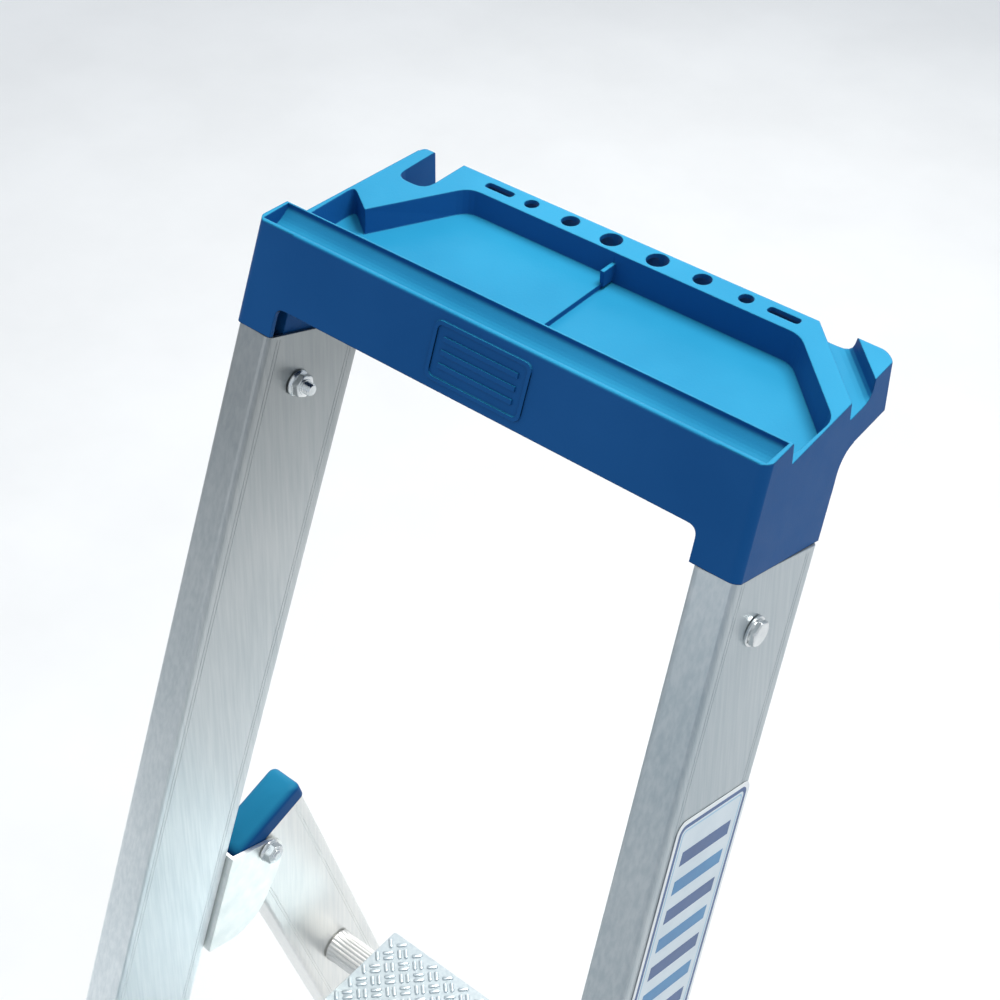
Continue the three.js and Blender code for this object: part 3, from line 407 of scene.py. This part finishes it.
def make_label():
    place = stile_frame(1) @ axes((0, 1, 0), (0, 0, -1), (1, 0, 0))
    face = STILE_W / MM / 2 + LABEL_GAP
    bed = face + PRINT_BED
    bm = bmesh.new()
    add_prism(bm, label_outline(0, 7), face, face + SHEET_TOP, place)
    finish_piece("label_sheet", bm, LABEL_WHITE, "front_frame", ["stile_label"])
    bm = bmesh.new()
    add_frame(bm, label_outline(2.8, 5.5), label_outline(5.3, 4), bed, face + OUTLINE_TOP, place)
    finish_piece("label_outline", bm, PRINT_DARK, "front_frame")
    bm = bmesh.new()
    add_prism(bm, label_outline(5.3, 4), bed, face + FIELD_TOP, place)
    finish_piece("label_field", bm, PRINT_FIELD, "front_frame")
    bm = bmesh.new()
    add_frame(bm, label_outline(6.6, 3.4), label_outline(7.6, 2.8), bed, face + LINE_TOP, place)
    finish_piece("label_line", bm, PRINT_PALE, "front_frame")
    for index, look in enumerate((PRINT_DARK, PRINT_MID)):
        bm = bmesh.new()
        for bar in range(index, BAR_COUNT, 2):
            start = BAR_START + BAR_PITCH * bar
            outline = rectangle(BAR_LEFT, start, BAR_RIGHT, start + BAR_DEPTH)
            add_prism(bm, outline, bed, face + BARS_TOP, place)
        finish_piece(f"label_bars_{index + 1}", bm, look, "front_frame")


# ---- plaque on the tray's face: plain straight ribs inside the frame ----
PLAQUE_SUNK = -0.3        # how far its pieces reach into the tray's face
RIB_COUNT, RIB_START, RIB_PITCH = 3, 13.8, 7.4
RIB_LEFT, RIB_RIGHT, RIB_DEPTH, RIB_TOP = -27, 22.6, 2.8, 0.95


def make_emblem():
    place = FRONT @ axes((1, 0, 0), (0, 0, -1), (0, -1, 0))
    bm = bmesh.new()
    for rib in range(RIB_COUNT):
        start = RIB_START + RIB_PITCH * rib
        outline = rectangle(RIB_LEFT, start, RIB_RIGHT, start + RIB_DEPTH)
        add_prism(bm, outline, PLAQUE_SUNK, RIB_TOP, place)
    outer = rounded_rect(-34.1, 6.0, 29.7, 39.2, radius=4.5)
    inner = rounded_rect(-31.9, 8.2, 27.5, 37.0, radius=3.0)
    add_frame(bm, outer, inner, PLAQUE_SUNK, 1.0, place)
    finish_piece("tray_emblem", bm, BLUE_FINE, "front_frame")


# ---- fasteners: (radius, height) profiles, with height running out of the stile ----
HEX_CORNER = 7.6
HEX_CUTS = [(0.93, 0.3), (0.85, 0.0)]     # part of the corner left, height below the top
WASHER = [(8.6, -0.6), (8.7, -0.3), (8.7, 0.7), (8.4, 1.0)]
HEAD_COLLAR = [(6.6, 0.9), (6.6, 1.5)]
SHANK = [(3.9, -8), (3.9, 0)]
NUT_FLANGE = [(8.5, 0), (8.6, 0.4), (8.3, 1.3), (7.4, 2.0)]
NUT_COLLAR = [(4.9, -0.7), (4.9, -0.2), (4.4, 0)]     # heights from the nut's outer end
THREAD_RADIUS, THREAD_PITCH, THREAD_DEPTH, THREAD_STEPS = 4.0, 1.2, 0.45, 24


def add_turned(bm, profile, place, base=0):
    """Round body from (radius, height) pairs."""
    add_rings(bm, [(circle(radius), base + height) for radius, height in profile], place)


def add_hex(bm, corner, low, high, place):
    """Hexagon with rounded-off top corners, built as a stack of 36-sided rings."""
    def outline(limit):
        points = []
        for a, b in circle(1.0, 36):
            angle = math.atan2(b, a)
            local = (angle + math.pi / 6) % (math.pi / 3) - math.pi / 6
            reach = min(corner * math.cos(math.pi / 6) / math.cos(local), limit)
            points.append((reach * a, reach * b))
        return points

    stack = [(outline(corner), low), (outline(corner), high - 1.0)]
    stack += [(outline(corner * part), high - below) for part, below in HEX_CUTS]
    add_rings(bm, stack, place)


def add_thread(bm, low, high, place):
    """Stack of grooves with a pointed end."""
    crest = circle(THREAD_RADIUS, THREAD_STEPS)
    groove = circle(THREAD_RADIUS - THREAD_DEPTH, THREAD_STEPS)
    rings = []
    height = low
    while height < high - THREAD_PITCH:
        rings += [(crest, height), (groove, height + THREAD_PITCH / 2)]
        height += THREAD_PITCH
    rings += [(crest, high - 1.0), (circle(THREAD_RADIUS - 0.9, THREAD_STEPS), high)]
    add_rings(bm, rings, place)


def side_place(x_sign, centre):
    """Height runs outwards along x from a point on the stile's face."""
    return Matrix.Translation(centre) @ axes((0, 1, 0), (0, 0, 1), (x_sign, 0, 0))


def make_bolt(name, node_bolt, node_nut, head_height, stub):
    """Washer and hexagon head outside; flanged nut and a threaded end, stub long, inside."""
    low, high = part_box(node_bolt)
    nut_low, nut_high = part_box(node_nut)
    side = 1 if low.x > 0 else -1
    middle = (low + high) / 2
    outer = max(abs(low.x), abs(high.x))
    face = outer - head_height * MM
    place = side_place(side, (side * face, middle.y, middle.z))
    bm = bmesh.new()
    add_turned(bm, WASHER, place)
    add_turned(bm, HEAD_COLLAR, place)
    add_hex(bm, HEX_CORNER, 1.4, head_height, place)
    add_turned(bm, SHANK, place)
    finish_piece(f"{name}_head", bm, ZINC, "front_frame", [node_bolt], smooth=35)
    inner = max(abs(nut_low.x), abs(nut_high.x))
    place = side_place(-side, (side * inner, middle.y, middle.z))
    depth = (nut_high.x - nut_low.x) / MM
    bm = bmesh.new()
    add_turned(bm, NUT_FLANGE, place)
    add_hex(bm, HEX_CORNER, 1.6, depth - 0.6, place)
    add_turned(bm, NUT_COLLAR, place, base=depth)
    add_thread(bm, depth - 1.0, depth + stub, place)
    finish_piece(f"{name}_nut", bm, ZINC, "front_frame", [node_nut], smooth=35)


# ---- platform: pairs of short raised bars set at 45 degrees, turned in alternate cells ----
BUMP_PITCH = 11.0
BUMP_HALF_LENGTH = 4.4
BUMP_HALF_WIDTH = 1.7
BUMP_HEIGHT = 1.1
BUMP_OFFSET = 2.45        # of each bar of a pair from the cell's middle
BUMP_MARGIN = 0.4         # least room to the plate's edge


def bump_rings(centre, along):
    """One bar with rounded ends, drawn in towards its top."""
    across = Vector((-along.y, along.x))
    rings = []
    for shrink, level in ((0, -0.1), (0, 0.2), (0.45, BUMP_HEIGHT * 0.8), (0.85, BUMP_HEIGHT)):
        length, width = BUMP_HALF_LENGTH - shrink, BUMP_HALF_WIDTH - shrink * 0.8
        outline = rounded_rect(-length, -width, length, width, width * 0.97, 3)
        rings.append(([tuple(centre + along * a + across * b) for a, b in outline], level))
    return rings


def make_bumps():
    low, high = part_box("platform_plate")
    place = Matrix.Translation((0, 0, high.z))
    first, second = Vector((1, 1)).normalized(), Vector((-1, 1)).normalized()
    middle = Vector((0, (low.y + high.y) / 2 / MM))
    reach = int((high.y - low.y) / MM / BUMP_PITCH) + 2

    def on_plate(point):
        return (low.x / MM + BUMP_MARGIN < point.x < high.x / MM - BUMP_MARGIN and
                low.y / MM + BUMP_MARGIN < point.y < high.y / MM - BUMP_MARGIN)

    bm = bmesh.new()
    for column in range(-reach, reach + 1):
        for row in range(-reach, reach + 1):
            along, across = (first, second) if (column + row) % 2 == 0 else (second, first)
            cell = middle + first * (column * BUMP_PITCH) + second * (row * BUMP_PITCH)
            for sign in (-1, 1):
                centre = cell + across * (sign * BUMP_OFFSET)
                ends = [centre + along * (end * BUMP_HALF_LENGTH) for end in (-1, 1)]
                if all(on_plate(end) for end in ends):
                    add_rings(bm, bump_rings(centre, along), place)
    finish_piece("platform_bumps", bm, ALU_PLATE, "platform", smooth=50)


# ---- fluted tubes, swelling slightly where they enter the stiles ----
FLUTES = 24
FLUTE_STEPS = 6
TUBE_SPIGOT = 5.5         # length of the thin end inside the stile
SPIGOT_RADIUS = 11
TUBE_SWELL = [(13.6, 0.2, 0.4), (13.4, 0.5, 2.5), (12.9, 0.9, 6), (12.9, 1.1, 12)]
# each (radius, flute depth, distance from the stile's face)


def fluted(radius, depth):
    points = []
    total = FLUTES * FLUTE_STEPS
    for k in range(total):
        angle = 2 * math.pi * k / total
        groove = (0.5 - 0.5 * math.cos(FLUTES * angle)) ** 2
        reach = radius - depth * groove
        points.append((reach * math.cos(angle), reach * math.sin(angle)))
    return points


def make_tube(name, node_name, body):
    low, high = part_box(node_name)
    half = high.x / MM
    inner = half - TUBE_SPIGOT
    profile = [(SPIGOT_RADIUS, 0, half), (SPIGOT_RADIUS, 0, inner - 0.2)]
    profile += [(radius, depth, inner - inward) for radius, depth, inward in TUBE_SWELL]
    place = Matrix.Translation((low + high) / 2) @ axes((0, 1, 0), (0, 0, 1), (1, 0, 0))
    stack = [(fluted(radius, depth), -x) for radius, depth, x in profile]
    stack += [(fluted(radius, depth), x) for radius, depth, x in profile[::-1]]
    bm = bmesh.new()
    add_rings(bm, stack, place)
    finish_piece(name, bm, ALU_TUBE, body, [node_name], smooth=60)


# ---- caps on the rear stiles ----
CAP_HALF_WIDTH, CAP_FRONT, CAP_BACK = 13.2, -21.6, 45.8
CAP_LOW, CAP_SHOULDER = 6.5, 17.0
CAP_ROUND_IN, CAP_ROUND_UP, CAP_ROUND_STEPS = 5.5, 6, 8
CAP_CORNER = 4.5
CAP_DOME = [(4.5, 14, 4, 24.2), (1.5, 20, 1, 24.4)]    # half width, end gap, corner, height


def make_cap(side, suffix):
    """Upright sides, generously rounded top edge and a slight dome."""
    wall = rounded_rect(-CAP_HALF_WIDTH, CAP_FRONT, CAP_HALF_WIDTH, CAP_BACK, CAP_CORNER)
    stack = [(wall, CAP_LOW), (wall, CAP_SHOULDER)]
    for k in range(1, CAP_ROUND_STEPS + 1):
        angle = math.radians(90 * k / CAP_ROUND_STEPS)
        shrink = CAP_ROUND_IN * (1 - math.cos(angle))
        outline = rounded_rect(-CAP_HALF_WIDTH + shrink, CAP_FRONT + shrink * 1.6,
                               CAP_HALF_WIDTH - shrink, CAP_BACK - shrink * 1.6, 4.6 + shrink * 0.3)
        stack.append((outline, CAP_SHOULDER + CAP_ROUND_UP * math.sin(angle)))
    for half_width, end_gap, corner, height in CAP_DOME:
        outline = rounded_rect(-half_width, CAP_FRONT + end_gap, half_width, CAP_BACK - end_gap, corner)
        stack.append((outline, height))
    bm = bmesh.new()
    add_rings(bm, stack, rear_frame(side))
    finish_piece(f"cap_{suffix}", bm, BLUE, "rear_frame", [f"rear_cap_{suffix}"],
                 smooth=55)


# ---- fine beads along the stiles' broad faces, left by the extrusion ----
BEAD_HALF_WIDTH = 0.45
BEAD_HALF_RIDGE = 0.1
BEAD_HEIGHT = 0.14
BEAD_SUNK = 0.3           # how far a bead reaches into the stile's wall
FRONT_BEADS, FRONT_RUN = (9.5, 12.0, 76.0, 78.5), (-1350, -66)
REAR_BEADS, REAR_RUN = (-12.5, -10.5, 34.5, 36.5), (-900, 5)
SHOE_TOP = 0.058          # beads are cut off level here


def make_beads():
    for side, suffix in ((-1, "left"), (1, "right")):
        runs = {
            "front": (stile_frame(side), STILE_W / MM / 2, FRONT_BEADS, FRONT_RUN),
            "rear": (rear_frame(side), REAR_HALF_W, REAR_BEADS, REAR_RUN),
        }
        for frame_name, (place, face, lines, (low, high)) in runs.items():
            bm = bmesh.new()
            for sign in (-1, 1):
                turned = place @ axes((0, 1, 0), (0, 0, 1), (sign, 0, 0))
                for line in lines:
                    left, right = line - BEAD_HALF_WIDTH, line + BEAD_HALF_WIDTH
                    foot = [(left, low), (right, low), (right, high), (left, high)]
                    left, right = line - BEAD_HALF_RIDGE, line + BEAD_HALF_RIDGE
                    ridge = [(left, low + 1), (right, low + 1), (right, high - 1), (left, high - 1)]
                    rings = [(foot, face - BEAD_SUNK), (foot, face), (ridge, face + BEAD_HEIGHT)]
                    add_rings(bm, rings, turned)
            everything = bm.verts[:] + bm.edges[:] + bm.faces[:]
            bmesh.ops.bisect_plane(bm, geom=everything, plane_co=(0, 0, SHOE_TOP),
                                   plane_no=(0, 0, 1), clear_inner=True)
            bmesh.ops.holes_fill(bm, edges=bm.edges, sides=0)
            # The left front beads share the left stile's painted shade and painted reflection.
            look = {"rear": ALU_BRIGHT, "front": ALU_LEFT if side < 0 else ALU_Z}[frame_name]
            finish_piece(f"beads_{frame_name}_{suffix}", bm, look, f"{frame_name}_frame")


make_label()
make_emblem()
make_beads()
for side, suffix in ((-1, "left"), (1, "right")):
    make_bolt(f"tray_{suffix}", f"tray_bolt_{suffix}", f"tray_nut_{suffix}", head_height=4.5, stub=5.0)
    make_bolt(f"pivot_{suffix}", f"pivot_bolt_{suffix}", f"pivot_nut_{suffix}", head_height=5.0, stub=1.0)
    make_cap(side, suffix)
make_bumps()
make_tube("upper_tube", "rear_cross_tube_upper", "rear_frame")
make_tube("lower_tube", "rear_cross_tube_lower", "rear_frame")
make_tube("platform_tube", "platform_pivot_tube", "front_frame")


# ---- floor, light, camera ----
FLOOR_SIZE = 30
IMAGE_PIXELS = 1000
FOCAL_PIXELS = 1926.5
SENSOR_MM = 36.0
CAMERA_PLACE = (0.6687 - TRAY_HALF, -0.6209 + SHIFT_Y, 0.5753 + HEIGHT)
CAMERA_RIGHT = Vector((0.7618, 0.6479, -0.0003))
CAMERA_DOWN = Vector((0.4024, -0.4736, -0.7834))
CAMERA_FORWARD = Vector((-0.5077, 0.5967, -0.6215))


def make_floor():
    bpy.ops.mesh.primitive_plane_add(size=FLOOR_SIZE, location=(0, 0, 0))
    floor = bpy.context.object
    floor.name = "floor"
    mat, tree, shader = new_material("floor")
    pale = ramp(tree, noise(tree, 3.0), (0.86, 0.86, 0.86), (0.90, 0.90, 0.90))
    tree.links.new(pale, shader.inputs["Base Color"])
    shader.inputs["Roughness"].default_value = 0.9
    floor.data.materials.append(mat)


def area_light(name, location, target, size, energy, colour):
    """Square light of a size in metres and an energy in watts, aimed at a target."""
    data = bpy.data.lights.new(name, "AREA")
    data.shape = "SQUARE"
    data.size = size
    data.energy = energy
    data.color = colour
    light = bpy.data.objects.new(name, data)
    light.location = location
    direction = Vector(target) - Vector(location)
    light.rotation_euler = direction.to_track_quat("-Z", "Y").to_euler()
    bpy.context.scene.collection.objects.link(light)


def make_world():
    """Pale sky, a little bluer towards the horizon."""
    world = bpy.data.worlds.new("studio")
    world.use_nodes = True
    tree = world.node_tree
    background = tree.nodes["Background"]
    background.inputs["Strength"].default_value = 0.74
    coords = tree.nodes.new("ShaderNodeTexCoord")
    split = tree.nodes.new("ShaderNodeSeparateXYZ")
    tree.links.new(coords.outputs["Generated"], split.inputs["Vector"])
    shade = ramp(tree, split.outputs["Z"], (0.78, 0.87, 1.0), (0.90, 0.95, 1.0), 0.0, 0.6)
    tree.links.new(shade, background.inputs["Color"])
    bpy.context.scene.world = world


def make_camera():
    data = bpy.data.cameras.new("camera")
    data.sensor_width = SENSOR_MM
    data.lens = FOCAL_PIXELS / IMAGE_PIXELS * SENSOR_MM
    data.shift_x = 0.05
    data.shift_y = -0.08
    data.clip_end = 60
    camera = bpy.data.objects.new("camera", data)
    turn = Matrix((CAMERA_RIGHT, -CAMERA_DOWN, -CAMERA_FORWARD)).transposed().to_4x4()
    camera.matrix_world = Matrix.Translation(CAMERA_PLACE) @ turn
    bpy.context.scene.collection.objects.link(camera)
    bpy.context.scene.camera = camera


make_floor()
make_world()
area_light("key", (0.25, 0.75, 2.75), (0, 0.15, 1.3), size=0.7, energy=33, colour=(1.0, 0.98, 0.94))
area_light("front", (-0.6, -2.4, 1.6), (0, 0, 1.0), size=1.6, energy=4, colour=(1.0, 0.99, 0.97))
area_light("back", (-1.2, 2.6, 2.2), (0, 0, 1.0), size=2.0, energy=24, colour=(1.0, 0.98, 0.94))
make_camera()
bpy.context.scene.view_settings.view_transform = "Standard"
